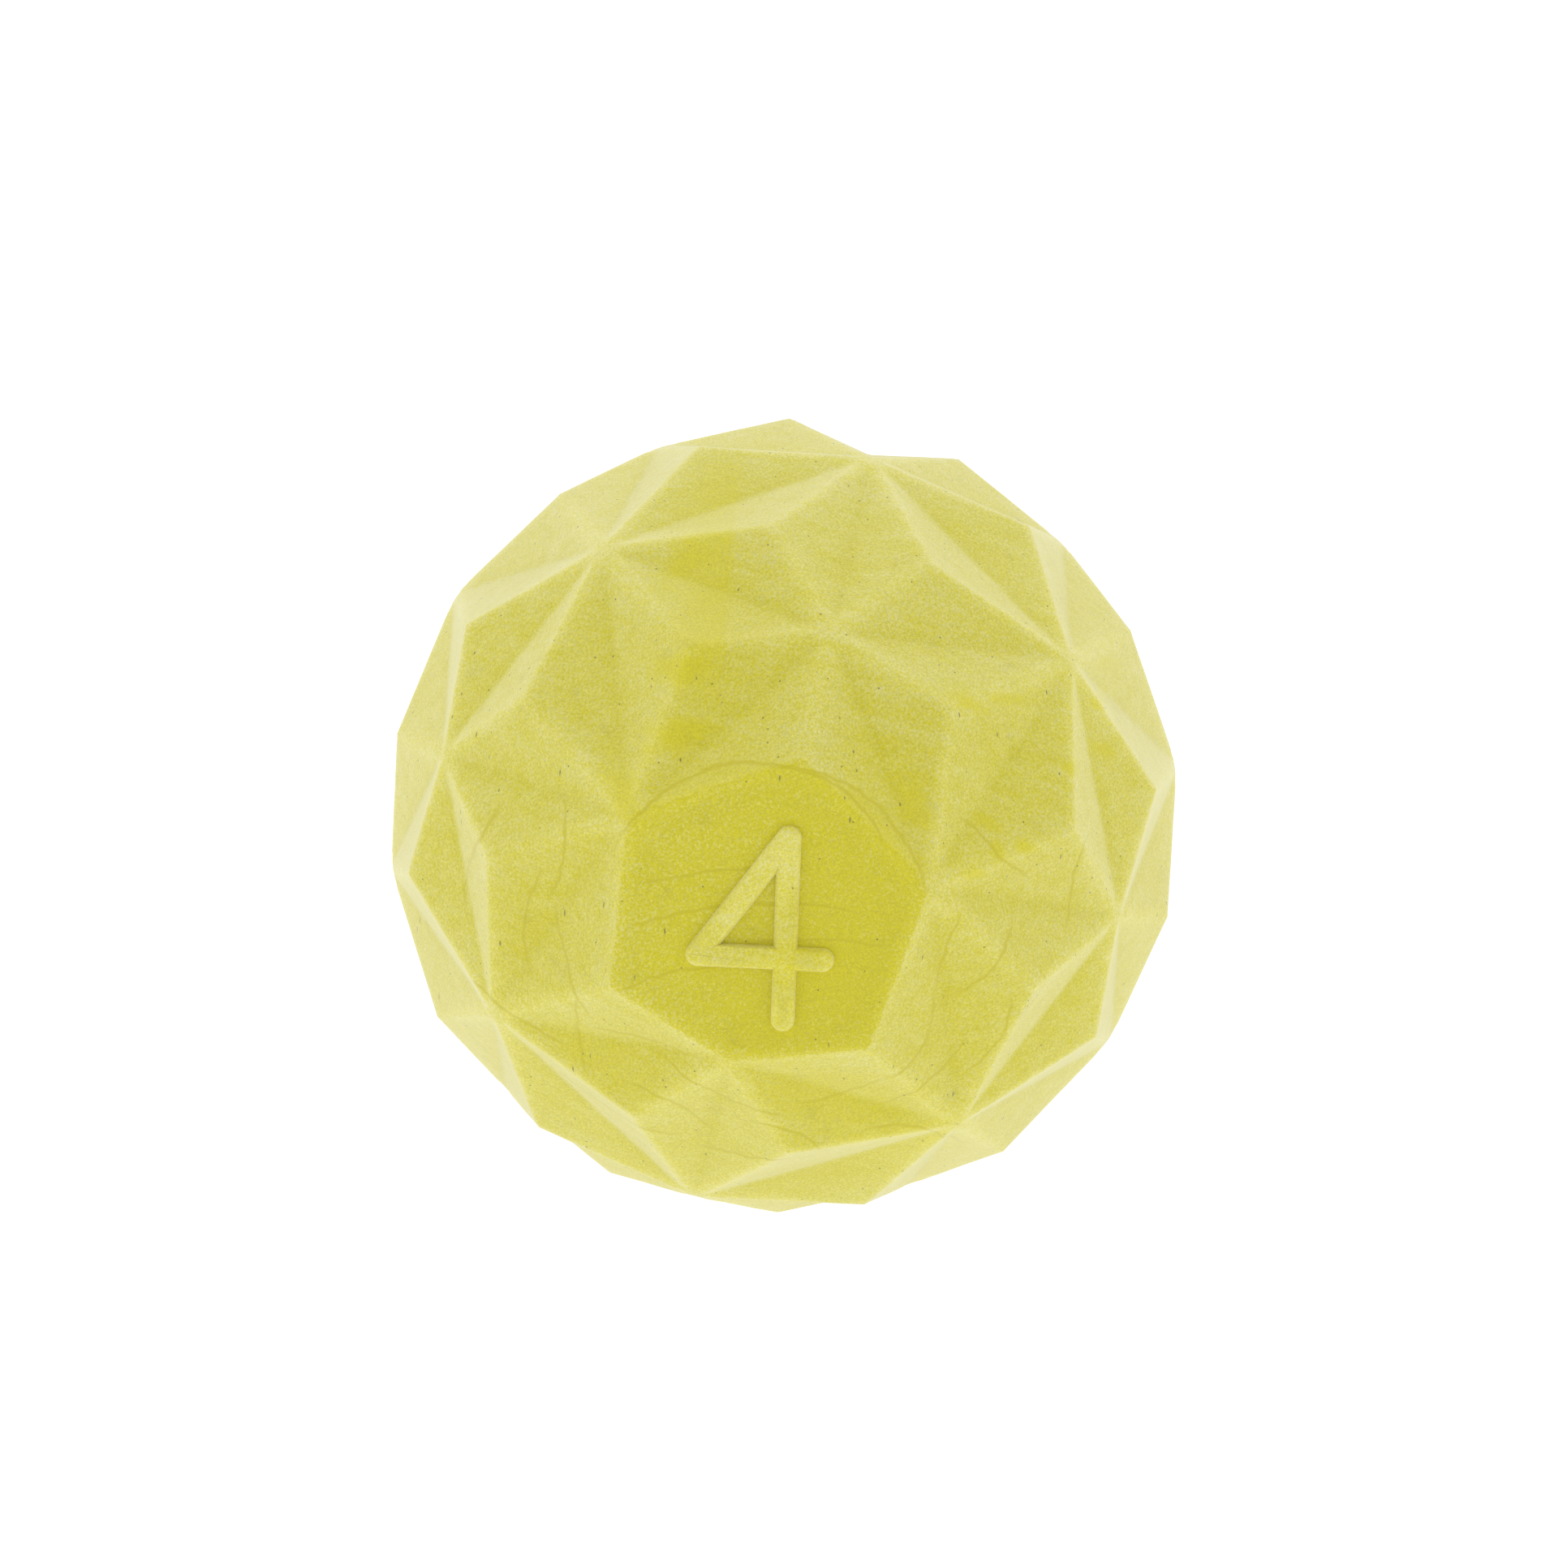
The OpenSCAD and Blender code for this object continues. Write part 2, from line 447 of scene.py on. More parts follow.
def add_node(material, kind, settings=None, **inputs):
    """Adds a node, makes its settings, and sets or links its inputs, given by name or as _number."""
    node = material.node_tree.nodes.new("ShaderNode" + kind)
    for name, value in (settings or {}).items():
        setattr(node, name, value)
    for name, value in inputs.items():
        key = int(name[1:]) if name.startswith("_") else name.replace("_", " ")
        if isinstance(value, bpy.types.Node):
            value = value.outputs[0]
        if isinstance(value, bpy.types.NodeSocket):
            material.node_tree.links.new(value, node.inputs[key])
        else:
            node.inputs[key].default_value = value
    return node


def new_material(name):
    """A material without any nodes yet."""
    material = bpy.data.materials.new(name)
    material.use_nodes = True
    material.node_tree.nodes.clear()
    return material


# Settings that several nodes share
PLUS = {"operation": "ADD"}
MINUS = {"operation": "SUBTRACT"}
TIMES = {"operation": "MULTIPLY"}
GREATEST = {"operation": "MAXIMUM"}
SMOOTHLY = {"interpolation_type": "SMOOTHSTEP"}
INVERSE = {"vector_type": "TEXTURE"}
COLOURS = {"data_type": "RGBA"}
# A noise mostly keeps between the first two, and a broad one is read between the second two
LOW, HIGH = 0.3, 0.7
BROAD_LOW, BROAD_HIGH = 0.35, 0.65


# ---- The cover's surface: sizes in millimetres, and shares ----

# The grain of the body and of its frosting, about as fine as the camera can tell, and so perhaps
# coarser than the real one
GRAIN = 0.1
FROST_GRAIN = 0.14
# The waves of the surface, and how deep grain and waves are together
RIPPLE = 1.1
RELIEF_DEPTH = 0.022
# Cloudy patches of frosting, and the streaks across them
FROST_PATCH = 6
STREAK_WIDTH = 0.7
STREAK_LENGTH = 6
STREAK_TILT = math.radians(12)
# Smudges of handling
SMUDGE = 1.8
# Places for a dark fleck are this far apart, and this share of them has one of this radius.
# Fibres are flecks drawn out this many times along a turned axis
FLECK_SPACING = 0.75
FLECK_CHANCE = 0.45
FLECK_R = 0.065
FIBRE_STRETCH = 3.5
FIBRE_TURN = (0.5, 0.9, 0.3)

# Colours of the bare, frosted and thickly frosted body, of hairlines and of dirt
BARE_COLOUR = "#D1C800"
FROSTED_COLOUR = "#D9D150"
THICK_FROST_COLOUR = "#DFD880"
HAIRLINE_COLOUR = "#CABF00"
DIRT_COLOUR = "#6E6433"
DIRT_STRENGTH = 0.75
SMUDGE_STRENGTH = 0.15

# Frosting, from 0 where the body is bare to 1 where it is thick, and what changes it
FROST_LEAST, FROST_MOST = 0.37, 0.53
STREAK_FROST = 0.17
GRAIN_FROST = 0.34
# More frost on ridges is a painted highlight, and less frost in hollows, as round the number's foot, is
# painted shade that leaves them saturated
PAINTED_RIDGE_HIGHLIGHT = 0.1
PAINTED_HOLLOW_SHADE = -0.24
# Less frost low down and more high up are painted shade below and painted light from above
PAINTED_SHADE_BELOW, PAINTED_LIGHT_ABOVE = -0.13, 0.11
# The heights at which the last two are reached
BELOW, ABOVE = -18, 18
# The heights of a ridge and a hollow over the surface round them, where theirs are reached
RIDGE = 0.05
HOLLOW, LEVEL = -0.15, -0.01

# Patches of thin frosting keep this share of it, and have edges frayed by this much
BARE_KEEPS = 0.1
FRAY = 0.9
FRAY_SPREAD = 1.6
# A strip with thin frosting runs down the front, with a sharp right edge
BARE_STRIP = {"left": -6.2, "right": -2.75, "foot": 9.5}
STRIP_STRENGTH = 0.62
STRIP_LEFT_FADE = 2.5
STRIP_RIGHT_FADE = 0.4
STRIP_FOOT_FADE = 5
# Thin frosting follows the top of the panel's round outline, as wide as this to each side
BARE_ARC_HALF_WIDTH = 1.0
BARE_ARC_WEAKEST, BARE_ARC_STRONGEST = 0.35, 0.75
# Short streaks of thin frosting on the upper right of the front
BARE_STREAKS = 11

# The panel is nearly bare, patchily so, with stronger grain and paler specks at its left
PANEL_KEEPS = 0.05
PANEL_PATCHY_LEAST, PANEL_PATCHY_MOST = 0.65, 0.95
PANEL_GRAIN = 1.75
SPECKS_FROM, SPECKS_TO = -6, 4
SPECKS_LEFT, SPECKS_RIGHT = 0.06, -0.22
# The surface counts as panel from the first two heights on, measured from the panel's,
# and as number between the next two, measured from the panel's and from the number's
PANEL_STARTS, PANEL_FULL = -0.14, -0.03
NUMBER_STARTS, NUMBER_FULL = 0.08, -0.06

# How many times as light as the body's colour. The grain's lies to both sides of 1, and the
# number's foot adds its own to 1
GRAIN_TONE = 0.1
# Darker at hollow edges and lighter on ridges: painted shade and painted highlight
PAINTED_HOLLOW_SHADE_TONE, PAINTED_RIDGE_HIGHLIGHT_TONE = 0.97, 1.05
BARE_TONE = 1.05
NUMBER_TONE = 1.06
# The panel is lighter where it is hollow, round the number's foot: painted light in the shade there
PAINTED_FOOT_LIGHT = 0.1

# Hairlines across the panel, and round it between two angles on rings that are shares of its size
HAIRLINES_ACROSS = 4
HAIRLINES_ROUND = 21
HAIRLINES_FROM, HAIRLINES_TO = -200, 20
HAIRLINE_RINGS = (1.15, 1.7, 1.4)
HAIRLINE_HALF_WIDTH = 0.14
HAIRLINE_STRENGTH = 0.75
HAIRLINE_DEPTH = 0.3
# How far hairlines waver from side to side at most, and how often
WAVER = 0.6
WAVES_PER_MM = 0.6

# What is placed on the front fades out between these, both of them in front of the ball's centre
FADE_STARTS, FADE_ENDS = -5, -2
# What is scattered over the front comes from draws with this seed
SCATTER_SEED = 4


# ---- What is placed on the front: right and up, in millimetres ----

def round_panel(share, degrees):
    """The point, right and up, at this share of the panel's size and angle from its middle."""
    reach = share * PANEL_R / MM
    angle = math.radians(degrees)
    right = panel_middle.x / MM + reach * math.cos(angle)
    up = panel_middle.z / MM + reach * math.sin(angle)
    return Vector((right, up))


def bowed_line(middle, heading, length, bow):
    """Three points along a line with this middle, heading in degrees, length and bow."""
    along = Vector((math.cos(math.radians(heading)), math.sin(math.radians(heading))))
    across = Vector((-along.y, along.x)) * bow
    return middle - along * length / 2 - across, middle, middle + along * length / 2 - across


def flow_lines():
    """Hairlines left by the flow of the casting, as three points each."""
    draw = random.Random(SCATTER_SEED)
    # Two follow the top of the panel
    lines = [
        (round_panel(0.95, 145), round_panel(0.94, 85), round_panel(0.96, 22)),
        (round_panel(0.93, 85), round_panel(0.91, 62), round_panel(0.86, 42)),
    ]
    for number in range(HAIRLINES_ACROSS):
        middle = round_panel(0.3 - 0.2 * number, 90)
        middle.x += draw.uniform(-4, 4)
        lines.append(bowed_line(middle, draw.gauss(3, 6), draw.uniform(6, 10), draw.uniform(0.2, 0.6)))
    # The others lie at its sides and below it, and run roughly round it
    sweep = HAIRLINES_TO - HAIRLINES_FROM
    for number in range(HAIRLINES_ROUND):
        angle = HAIRLINES_FROM + sweep * (number + draw.uniform(0.2, 0.8)) / HAIRLINES_ROUND
        ring = HAIRLINE_RINGS[number % len(HAIRLINE_RINGS)]
        middle = round_panel(ring + draw.uniform(-0.1, 0.1), angle)
        heading = angle + 90 + draw.gauss(0, 25)
        lines.append(bowed_line(middle, heading, draw.uniform(3, 6), draw.uniform(-0.5, 0.7)))
    return lines


def bare_patches():
    """Patches of thin frosting: right, up, half length, half width, tilt in degrees and strength."""
    draw = random.Random(SCATTER_SEED)
    strip_middle = (BARE_STRIP["left"] + BARE_STRIP["right"]) / 2
    # Broad blotches down the strip
    patches = [(strip_middle, up, 1.8, 0.8, draw.uniform(0, 70), 0.95) for up in (10, 13, 17)]
    # Blotches at the panel's right and left shoulders
    for degrees in (40, 140):
        patches.append((*round_panel(1.1, degrees), 1.6, 0.8, -60, 0.7))
    for _ in range(BARE_STREAKS):
        place = draw.uniform(9, 18), draw.uniform(3, 12)
        patches.append((*place, draw.uniform(0.4, 1.2), 0.28, draw.uniform(-50, -15), 0.9))
    # Wide thin places along the panel's lower edges
    patches.append((*round_panel(1.45, -65), 6, 2, -27, 0.5))
    patches.append((*round_panel(1.4, -132), 3, 1.3, -27, 0.4))
    return patches


def circle_through(start, middle, end):
    """The centre and radius of the flat circle through three points."""
    (ax, ay), (bx, by), (cx, cy) = start, middle, end
    twice_area = 2 * (ax * (by - cy) + bx * (cy - ay) + cx * (ay - by))
    a2, b2, c2 = ax * ax + ay * ay, bx * bx + by * by, cx * cx + cy * cy
    x = (a2 * (by - cy) + b2 * (cy - ay) + c2 * (ay - by)) / twice_area
    y = (a2 * (cx - bx) + b2 * (ax - cx) + c2 * (bx - ax)) / twice_area
    return (x, y), math.hypot(ax - x, ay - y)


# ---- The cover's material ----

def drawn_arcs(m, place, arcs, half_width):
    """How near each point of the front is to any of the arcs: 1 on it, and 0 half its width away."""
    nearest = add_node(m, "Value")
    nearest.outputs[0].default_value = 0
    for start, middle, end in arcs:
        (cx, cz), r = circle_through(start, middle, end)
        half_chord = math.dist(start, end) / 2
        chord_middle = ((start[0] + end[0]) / 2, 0, (start[1] + end[1]) / 2)
        out = add_node(m, "VectorMath", {"operation": "DISTANCE"}, _0=place, _1=(cx, 0, cz))
        miss = add_node(m, "Math", MINUS, _0=out.outputs["Value"], _1=r)
        miss = add_node(m, "Math", {"operation": "ABSOLUTE"}, _0=miss)
        line = add_node(m, "MapRange", SMOOTHLY, Value=miss, From_Max=half_width, To_Min=1.0, To_Max=0.0)
        reach = add_node(m, "VectorMath", {"operation": "DISTANCE"}, _0=place, _1=chord_middle)
        within = add_node(m, "MapRange", Value=reach.outputs["Value"],
                          From_Min=half_chord, From_Max=half_chord + 1, To_Min=1.0, To_Max=0.0)
        line = add_node(m, "Math", TIMES, _0=line, _1=within)
        nearest = add_node(m, "Math", GREATEST, _0=nearest, _1=line)
    return nearest


def bare_strip(m, right, up):
    """Where the strip of thin frosting is, from 0 to its strength."""
    strip_left = add_node(m, "MapRange", SMOOTHLY, Value=right,
                          From_Min=BARE_STRIP["left"], From_Max=BARE_STRIP["left"] + STRIP_LEFT_FADE)
    strip_right = add_node(m, "MapRange", Value=right, From_Min=BARE_STRIP["right"],
                           From_Max=BARE_STRIP["right"] + STRIP_RIGHT_FADE,
                           To_Min=STRIP_STRENGTH, To_Max=0.0)
    strip_foot = add_node(m, "MapRange", Value=up,
                          From_Min=BARE_STRIP["foot"], From_Max=BARE_STRIP["foot"] + STRIP_FOOT_FADE)
    strip = add_node(m, "Math", TIMES, _0=strip_left, _1=strip_right)
    return add_node(m, "Math", TIMES, _0=strip, _1=strip_foot)


def thin_frosting(m, mm, flat, right, up):
    """Where the front's frosting is thin: patches, the strip, and the arc at the panel's top."""
    fray = add_node(m, "TexNoise", Vector=mm, Scale=1 / FRAY, Detail=3.0, Roughness=0.6)
    fray = add_node(m, "Math", {"operation": "MULTIPLY_ADD"},
                    _0=fray, _1=FRAY_SPREAD, _2=-FRAY_SPREAD / 2)
    bare = add_node(m, "Value")
    bare.outputs[0].default_value = 0
    for x, z, half_length, half_width, tilt, strength in bare_patches():
        inside = add_node(m, "Mapping", INVERSE, Vector=flat, Location=(x, 0, z),
                          Rotation=(0, -math.radians(tilt), 0), Scale=(half_length, 1, half_width))
        off = add_node(m, "VectorMath", {"operation": "LENGTH"}, _0=inside)
        off = add_node(m, "Math", PLUS, _0=off.outputs["Value"], _1=fray)
        spot = add_node(m, "MapRange", SMOOTHLY, Value=off,
                        From_Min=0.3, From_Max=1.5, To_Min=strength, To_Max=0.0)
        bare = add_node(m, "Math", GREATEST, _0=bare, _1=spot)
    bare = add_node(m, "Math", GREATEST, _0=bare, _1=bare_strip(m, right, up))
    panel_top = (round_panel(0.9, 145), round_panel(0.88, 85), round_panel(0.9, 25))
    arc = drawn_arcs(m, flat, [panel_top], BARE_ARC_HALF_WIDTH)
    arc_share = add_node(m, "MapRange", Value=fray, From_Min=-0.3, From_Max=0.3,
                         To_Min=BARE_ARC_STRONGEST, To_Max=BARE_ARC_WEAKEST)
    arc = add_node(m, "Math", TIMES, _0=arc, _1=arc_share)
    return add_node(m, "Math", GREATEST, _0=bare, _1=arc)


def hairlines(m, mm, flat):
    """Where the hairlines are, which waver."""
    waver = add_node(m, "TexNoise", Vector=mm, Scale=WAVES_PER_MM, Detail=3.0, Roughness=0.6)
    waver = add_node(m, "VectorMath", MINUS, _0=waver.outputs["Color"], _1=(0.5, 0.5, 0.5))
    wavering = add_node(m, "VectorMath", {"operation": "MULTIPLY_ADD"},
                        _0=waver, _1=(WAVER, 0, WAVER), _2=flat)
    return drawn_arcs(m, wavering, flow_lines(), HAIRLINE_HALF_WIDTH)


def specks_of_dirt(m, mm):
    """Where dark flecks, short fibres of lint and faint smudges of handling are."""
    fibre_scale = (1 / FLECK_SPACING, 1 / FLECK_SPACING, 1 / FLECK_SPACING / FIBRE_STRETCH)
    turned = add_node(m, "Mapping", Vector=mm, Rotation=FIBRE_TURN, Scale=fibre_scale)
    smudge = add_node(m, "TexNoise", Vector=mm, Scale=1 / SMUDGE, Detail=4.0, Roughness=0.65)
    dirt = add_node(m, "MapRange", Value=smudge, From_Min=0.6, From_Max=0.75, To_Max=SMUDGE_STRENGTH)
    for vector, scale in ((mm, 1 / FLECK_SPACING), (turned, 1.0)):
        cells = add_node(m, "TexVoronoi", Vector=vector, Scale=scale)
        chance = add_node(m, "SeparateColor", _0=cells.outputs["Color"])
        is_dark = add_node(m, "Math", {"operation": "GREATER_THAN"}, _0=chance, _1=1 - FLECK_CHANCE)
        spot = add_node(m, "MapRange", Value=cells.outputs["Distance"],
                        From_Min=FLECK_R / FLECK_SPACING / 2, From_Max=FLECK_R / FLECK_SPACING,
                        To_Min=1.0, To_Max=0.0)
        spot = add_node(m, "Math", TIMES, _0=spot, _1=is_dark)
        dirt = add_node(m, "Math", GREATEST, _0=dirt, _1=spot)
    return dirt


def frost_with_painted_light(m, mm, right, up, bare, panel_bare, broad, edge, hollow):
    """How thick the pale bloom over the saturated body is, from 0 to 1, with painted highlight on ridges
    and towards the top and painted shade in hollows and lower down.
    """
    frost_and_painted_light = add_node(m, "MapRange", Value=broad, From_Min=BROAD_LOW, From_Max=BROAD_HIGH,
                     To_Min=FROST_LEAST, To_Max=FROST_MOST)
    along = add_node(m, "Mapping", INVERSE, Vector=mm, Rotation=(0, STREAK_TILT, 0),
                     Scale=(STREAK_LENGTH, STREAK_WIDTH, STREAK_WIDTH))
    streaks = add_node(m, "TexNoise", Vector=along, Scale=1.0, Detail=2.0, Roughness=0.55)
    streaks = add_node(m, "MapRange", Value=streaks, From_Min=LOW, From_Max=HIGH,
                       To_Min=-STREAK_FROST, To_Max=STREAK_FROST)
    frost_and_painted_light = add_node(m, "Math", PLUS, _0=frost_and_painted_light, _1=streaks)
    # The sunk panel is nearly bare, with paler specks
    kept = add_node(m, "MapRange", Value=panel_bare, To_Min=1.0, To_Max=PANEL_KEEPS)
    frost_and_painted_light = add_node(m, "Math", TIMES, _0=frost_and_painted_light, _1=kept)
    specks = add_node(m, "MapRange", Value=right, From_Min=SPECKS_FROM, From_Max=SPECKS_TO,
                      To_Min=SPECKS_LEFT, To_Max=SPECKS_RIGHT)
    specks = add_node(m, "Math", TIMES, _0=specks, _1=panel_bare)
    frost_and_painted_light = add_node(m, "Math", PLUS, _0=frost_and_painted_light, _1=specks)
    # Painted highlight and shade: it stands on ridges as a painted highlight, is thin in hollows as
    # painted shade, and thickens towards the top as painted light from above
    ridge_highlight_paint = add_node(m, "MapRange", Value=edge, From_Max=RIDGE, To_Max=PAINTED_RIDGE_HIGHLIGHT)
    hollow_shade_paint = add_node(m, "MapRange", Value=hollow, From_Min=HOLLOW, From_Max=LEVEL,
                         To_Min=PAINTED_HOLLOW_SHADE, To_Max=0.0)
    height_light_paint = add_node(m, "MapRange", Value=up, From_Min=BELOW, From_Max=ABOVE,
                         To_Min=PAINTED_SHADE_BELOW, To_Max=PAINTED_LIGHT_ABOVE)
    for change in (ridge_highlight_paint, hollow_shade_paint, height_light_paint):
        frost_and_painted_light = add_node(m, "Math", PLUS, _0=frost_and_painted_light, _1=change)
    speckle = add_node(m, "TexNoise", Vector=mm, Scale=1 / FROST_GRAIN, Detail=1.0, Roughness=0.6)
    speckle = add_node(m, "MapRange", Value=speckle, From_Min=LOW, From_Max=HIGH,
                       To_Min=-GRAIN_FROST, To_Max=GRAIN_FROST)
    stronger = add_node(m, "MapRange", Value=panel_bare, To_Min=1.0, To_Max=PANEL_GRAIN)
    speckle = add_node(m, "Math", TIMES, _0=speckle, _1=stronger)
    frost_and_painted_light = add_node(m, "Math", {"operation": "ADD", "use_clamp": True}, _0=frost_and_painted_light, _1=speckle)
    kept = add_node(m, "MapRange", Value=bare, To_Min=1.0, To_Max=BARE_KEEPS)
    return add_node(m, "Math", TIMES, _0=frost_and_painted_light, _1=kept)


def tone_and_painted_light(m, grain, edge, bare, hollow, on_panel, off_number):
    """How light each point is beside the body's colour, round 1, with painted highlight on ridges,
    painted shade at hollow edges and painted light at the number's foot.
    """
    tone = add_node(m, "MapRange", Value=grain, From_Min=LOW, From_Max=HIGH,
                    To_Min=1 - GRAIN_TONE, To_Max=1 + GRAIN_TONE)
    # Painted shade at the edges of hollows and painted highlight on ridges
    edge_light_paint = add_node(m, "MapRange", Value=edge, From_Min=-RIDGE, From_Max=RIDGE,
                         To_Min=PAINTED_HOLLOW_SHADE_TONE, To_Max=PAINTED_RIDGE_HIGHLIGHT_TONE)
    bare_tone = add_node(m, "MapRange", Value=bare, To_Min=1.0, To_Max=BARE_TONE)
    number_tone = add_node(m, "MapRange", Value=off_number, To_Min=NUMBER_TONE, To_Max=1.0)
    # Painted light: the panel is lighter where it is hollow, round the number's foot
    foot_light_paint = add_node(m, "MapRange", Value=hollow, From_Min=HOLLOW, From_Max=LEVEL,
                         To_Min=PAINTED_FOOT_LIGHT, To_Max=0.0)
    foot_light_paint = add_node(m, "Math", {"operation": "MULTIPLY_ADD"}, _0=foot_light_paint, _1=on_panel, _2=1.0)
    for change in (edge_light_paint, bare_tone, number_tone, foot_light_paint):
        tone = add_node(m, "Math", TIMES, _0=tone, _1=change)
    return tone


def moulded_urethane():
    """Yellow-green cast urethane: matt, grainy and frosted by its mould, with flow lines and flecks, and
    with painted highlight on ridges and towards the top and painted shade in hollows and lower down.
    """
    m = new_material("moulded_urethane")
    place = add_node(m, "TexCoord").outputs["Object"]
    mm = add_node(m, "VectorMath", {"operation": "SCALE"}, _0=place, Scale=1 / MM)
    right, behind, up = add_node(m, "SeparateXYZ", _0=mm).outputs
    on_front = add_node(m, "MapRange", Value=behind, From_Min=FADE_STARTS, From_Max=FADE_ENDS,
                        To_Min=1.0, To_Max=0.0)
    # The front seen flat, for what is placed by right and up alone
    flat = add_node(m, "VectorMath", TIMES, _0=mm, _1=(1, 0, 1))
    broad = add_node(m, "TexNoise", Vector=mm, Scale=1 / FROST_PATCH, Detail=4.0, Roughness=0.6)
    grain = add_node(m, "TexNoise", Vector=mm, Scale=1 / GRAIN, Detail=1.0, Roughness=0.6)
    edge = add_node(m, "Attribute", {"attribute_name": "edge"}).outputs["Fac"]
    hollow = add_node(m, "Attribute", {"attribute_name": "hollow"}).outputs["Fac"]

    # The panel and its number, told apart by their height
    rise = add_node(m, "VectorMath", {"operation": "DOT_PRODUCT"}, _0=mm, _1=panel_dir).outputs["Value"]
    on_panel = add_node(m, "MapRange", Value=rise,
                        From_Min=PANEL_H / MM + PANEL_STARTS, From_Max=PANEL_H / MM + PANEL_FULL)
    off_number = add_node(m, "MapRange", Value=rise, From_Min=PANEL_H / MM + NUMBER_STARTS,
                          From_Max=NUMBER_H / MM + NUMBER_FULL, To_Min=1.0, To_Max=0.0)
    panel_bare = add_node(m, "Math", TIMES, _0=on_panel, _1=off_number)
    patchy = add_node(m, "MapRange", Value=broad, From_Min=BROAD_LOW, From_Max=BROAD_HIGH,
                      To_Min=PANEL_PATCHY_MOST, To_Max=PANEL_PATCHY_LEAST)
    panel_bare = add_node(m, "Math", TIMES, _0=panel_bare, _1=patchy)

    bare = thin_frosting(m, mm, flat, right, up)
    bare = add_node(m, "Math", TIMES, _0=bare, _1=on_front)
    frost_and_painted_light = frost_with_painted_light(m, mm, right, up, bare, panel_bare, broad, edge, hollow)
    lines = add_node(m, "Math", TIMES, _0=hairlines(m, mm, flat), _1=on_front)
    lines = add_node(m, "Math", TIMES, _0=lines, _1=off_number)
    dirt = specks_of_dirt(m, mm)

    # Colour, from the body outwards
    body = add_node(m, "ValToRGB", Fac=frost_and_painted_light)
    stops = body.color_ramp.elements
    stops[0].color = to_linear(BARE_COLOUR)
    stops[1].color = to_linear(THICK_FROST_COLOUR)
    stops.new(0.5).color = to_linear(FROSTED_COLOUR)
    tone = tone_and_painted_light(m, grain, edge, bare, hollow, on_panel, off_number)
    colour = add_node(m, "VectorMath", {"operation": "SCALE"}, _0=body, Scale=tone)
    marks = ((lines, HAIRLINE_STRENGTH, HAIRLINE_COLOUR), (dirt, DIRT_STRENGTH, DIRT_COLOUR))
    for where, strength, mark_colour in marks:
        share = add_node(m, "Math", TIMES, _0=where, _1=strength)
        colour = add_node(m, "Mix", COLOURS, _0=share, _6=colour, _7=to_linear(mark_colour)).outputs[2]

    # Height of the finest relief, as a share of its depth
    ripple = add_node(m, "TexNoise", Vector=mm, Scale=1 / RIPPLE, Detail=2.0)
    tall = add_node(m, "Math", PLUS, _0=grain, _1=ripple)
    groove = add_node(m, "Math", TIMES, _0=lines, _1=HAIRLINE_DEPTH)
    tall = add_node(m, "Math", MINUS, _0=tall, _1=groove)
    bump = add_node(m, "Bump", Height=tall, Strength=1.0, Distance=RELIEF_DEPTH * MM)
    rough = add_node(m, "MapRange", Value=grain, From_Min=LOW, From_Max=HIGH, To_Min=0.55, To_Max=0.7)
    shader = add_node(
        m, "BsdfPrincipled",
        Base_Color=colour,
        Roughness=rough,
        IOR=1.5,
        Normal=bump,
        Sheen_Weight=0.6,
        Sheen_Roughness=0.5,
    )
    add_node(m, "OutputMaterial", Surface=shader)
    return m


# ---- The materials inside ----

# Real sizes of their patterns, in millimetres
IONOMER_CLOUD = 6
RUBBER_FILLER = 0.4
RUBBER_POWDER = 5


def moulded_ionomer():
    """Ionomer resin as it leaves the mould: warm white, satin and faintly clouded by its flow."""
    m = new_material("moulded_ionomer")
    place = add_node(m, "TexCoord").outputs["Object"]
    mm = add_node(m, "VectorMath", {"operation": "SCALE"}, _0=place, Scale=1 / MM)
    cloud = add_node(m, "TexNoise", Vector=mm, Scale=1 / IONOMER_CLOUD, Detail=3.0)
    colour = add_node(m, "Mix", COLOURS, _0=cloud,
                      _6=to_linear("#F0ECDE"), _7=to_linear("#E4DFCB")).outputs[2]
    rough = add_node(m, "MapRange", Value=cloud, From_Min=LOW, From_Max=HIGH, To_Min=0.32, To_Max=0.44)
    ripple = add_node(m, "TexNoise", Vector=mm, Scale=1 / RIPPLE, Detail=2.0)
    bump = add_node(m, "Bump", Height=ripple, Strength=1.0, Distance=0.008 * MM)
    shader = add_node(m, "BsdfPrincipled", Base_Color=colour, Roughness=rough, IOR=1.49, Normal=bump)
    add_node(m, "OutputMaterial", Surface=shader)
    return m


def moulded_rubber(name, body, dusted):
    """Moulded rubber: matt, speckled by its fillers, with dull patches of mould release powder."""
    m = new_material(name)
    place = add_node(m, "TexCoord").outputs["Object"]
    mm = add_node(m, "VectorMath", {"operation": "SCALE"}, _0=place, Scale=1 / MM)
    filler = add_node(m, "TexNoise", Vector=mm, Scale=1 / RUBBER_FILLER, Detail=2.0)
    powder = add_node(m, "TexNoise", Vector=mm, Scale=1 / RUBBER_POWDER, Detail=4.0)
    powder = add_node(m, "MapRange", Value=powder, From_Min=0.45, From_Max=0.7)
    colour = add_node(m, "Mix", COLOURS, _0=powder, _6=to_linear(body), _7=to_linear(dusted)).outputs[2]
    tone = add_node(m, "MapRange", Value=filler, From_Min=LOW, From_Max=HIGH, To_Min=0.88, To_Max=1.12)
    colour = add_node(m, "VectorMath", {"operation": "SCALE"}, _0=colour, Scale=tone)
    rough = add_node(m, "MapRange", Value=powder, To_Min=0.6, To_Max=0.85)
    bump = add_node(m, "Bump", Height=filler, Strength=1.0, Distance=0.02 * MM)
    shader = add_node(m, "BsdfPrincipled", Base_Color=colour, Roughness=rough, IOR=1.52, Normal=bump)
    add_node(m, "OutputMaterial", Surface=shader)
    return m


